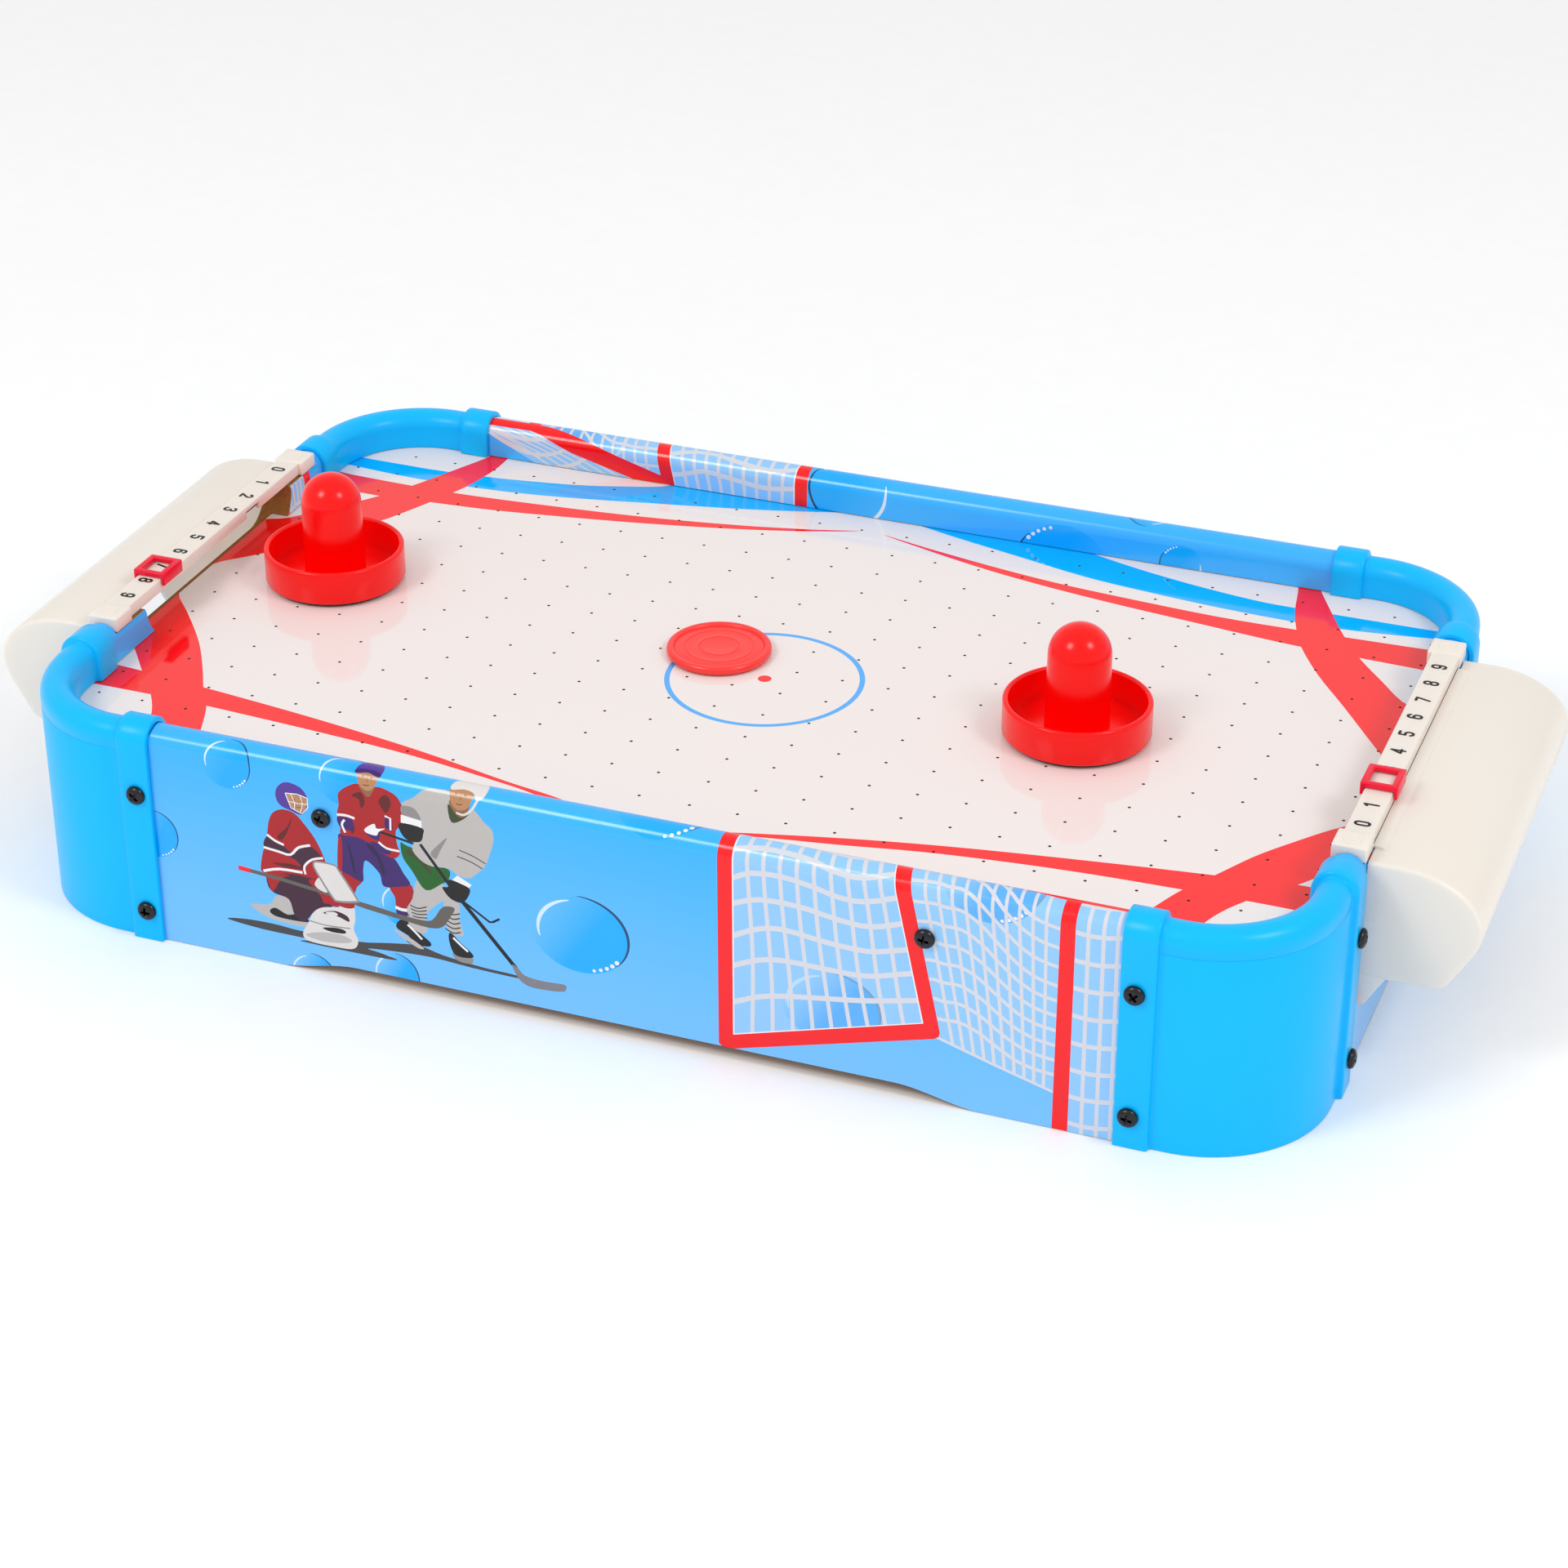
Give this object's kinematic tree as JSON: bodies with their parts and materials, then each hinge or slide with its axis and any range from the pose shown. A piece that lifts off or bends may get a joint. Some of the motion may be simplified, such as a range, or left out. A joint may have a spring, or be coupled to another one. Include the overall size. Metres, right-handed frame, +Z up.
{
  "type": "tabletop air hockey table",
  "caption": "Tabletop air hockey table with blue moulded corners, printed panels, drilled white board, goal boxes, sliding score clips, red pushers and a puck.",
  "frame": {"origin": "on the ground at the middle of the frame", "axes": "+X along the table towards the right goal, +Y to the back long side, +Z up"},
  "size_m": [0.593, 0.3216, 0.1212],
  "materials": {
    "printed_film": "printed gloss film on fibreboard",
    "corner_plastic": "semi-gloss moulded",
    "board_laminate": "printed gloss laminate",
    "hardboard": "raw hardboard",
    "softwood": "sawn softwood",
    "rail_plastic": "satin moulded",
    "goal_plastic": "semi-gloss milky moulded",
    "clip_plastic": "semi-gloss moulded",
    "red_plastic": "semi-gloss moulded",
    "felt": "felt",
    "black_plastic": "satin moulded",
    "red_lead": "soft insulation",
    "motor_steel": "plated",
    "battery_cell": "printed sleeve",
    "screw_black": "black oxide"
  },
  "bodies": {
    "table": {"back_panel": "printed_film", "front_panel": "printed_film", "left_end_panel": "printed_film", "right_end_panel": "printed_film", "back_right_corner": "corner_plastic", "back_left_corner": "corner_plastic", "front_left_corner": "corner_plastic", "front_right_corner": "corner_plastic", "playing_board": "board_laminate", "air_chamber_floor": "hardboard", "left_brace": "softwood", "right_brace": "softwood", "left_score_rail": "rail_plastic", "right_score_rail": "rail_plastic", "left_goal_box": "goal_plastic", "right_goal_box": "goal_plastic", "fan_housing": "black_plastic", "intake_grille": "black_plastic", "battery_box": "black_plastic", "motor_lead_negative": "black_plastic", "motor_lead_positive": "red_lead", "fan_motor": "motor_steel", "battery_1": "battery_cell", "battery_2": "battery_cell", "battery_3": "battery_cell", "battery_4": "battery_cell", "back_right_upper_side_screw": "screw_black", "back_right_upper_end_screw": "screw_black", "back_right_lower_side_screw": "screw_black", "back_right_lower_end_screw": "screw_black", "back_left_upper_side_screw": "screw_black", "back_left_upper_end_screw": "screw_black", "back_left_lower_side_screw": "screw_black", "back_left_lower_end_screw": "screw_black", "front_left_upper_side_screw": "screw_black", "front_left_upper_end_screw": "screw_black", "front_left_lower_side_screw": "screw_black", "front_left_lower_end_screw": "screw_black", "front_right_upper_side_screw": "screw_black", "front_right_upper_end_screw": "screw_black", "front_right_lower_side_screw": "screw_black", "front_right_lower_end_screw": "screw_black", "back_right_brace_screw": "screw_black", "back_left_brace_screw": "screw_black", "front_left_brace_screw": "screw_black", "front_right_brace_screw": "screw_black"},
    "right_pusher_set": {"right_pusher_tray": "red_plastic", "right_pusher_knob": "red_plastic", "right_pusher_felt": "felt"},
    "left_pusher_set": {"left_pusher_tray": "red_plastic", "left_pusher_knob": "red_plastic", "left_pusher_felt": "felt"},
    "puck_disc": {"puck": "red_plastic"},
    "right_clip": {"right_score_clip": "clip_plastic"},
    "left_clip": {"left_score_clip": "clip_plastic"},
    "impeller": {"fan_impeller": "rail_plastic"},
    "door": {"battery_door": "black_plastic"},
    "switch": {"power_switch": "clip_plastic"}
  },
  "joints": [
    {"name": "right_pusher_slide", "type": "slide", "parent": "table", "child": "right_pusher_set", "axis": [1, 0, 0], "range_m": [-0.097, 0.083]},
    {"name": "left_pusher_slide", "type": "slide", "parent": "table", "child": "left_pusher_set", "axis": [1, 0, 0], "range_m": [-0.014, 0.119]},
    {"name": "puck_slide", "type": "slide", "parent": "table", "child": "puck_disc", "axis": [0, 1, 0], "range_m": [-0.127, 0.116]},
    {"name": "right_clip_slide", "type": "slide", "parent": "table", "child": "right_clip", "axis": [0, 1, 0], "range_m": [-0.03, 0.097]},
    {"name": "left_clip_slide", "type": "slide", "parent": "table", "child": "left_clip", "axis": [0, 1, 0], "range_m": [-0.025, 0.102]},
    {"name": "fan_spin", "type": "hinge", "parent": "table", "child": "impeller", "pos_m": [0, 0, 0.012], "axis": [0, 0, 1], "continuous": true},
    {"name": "battery_door_slide", "type": "slide", "parent": "table", "child": "door", "axis": [0, -1, 0], "range_m": [0, 0.066]},
    {"name": "power_switch_slide", "type": "slide", "parent": "table", "child": "switch", "axis": [0, 1, 0], "range_m": [0, 0.005]}
  ]
}
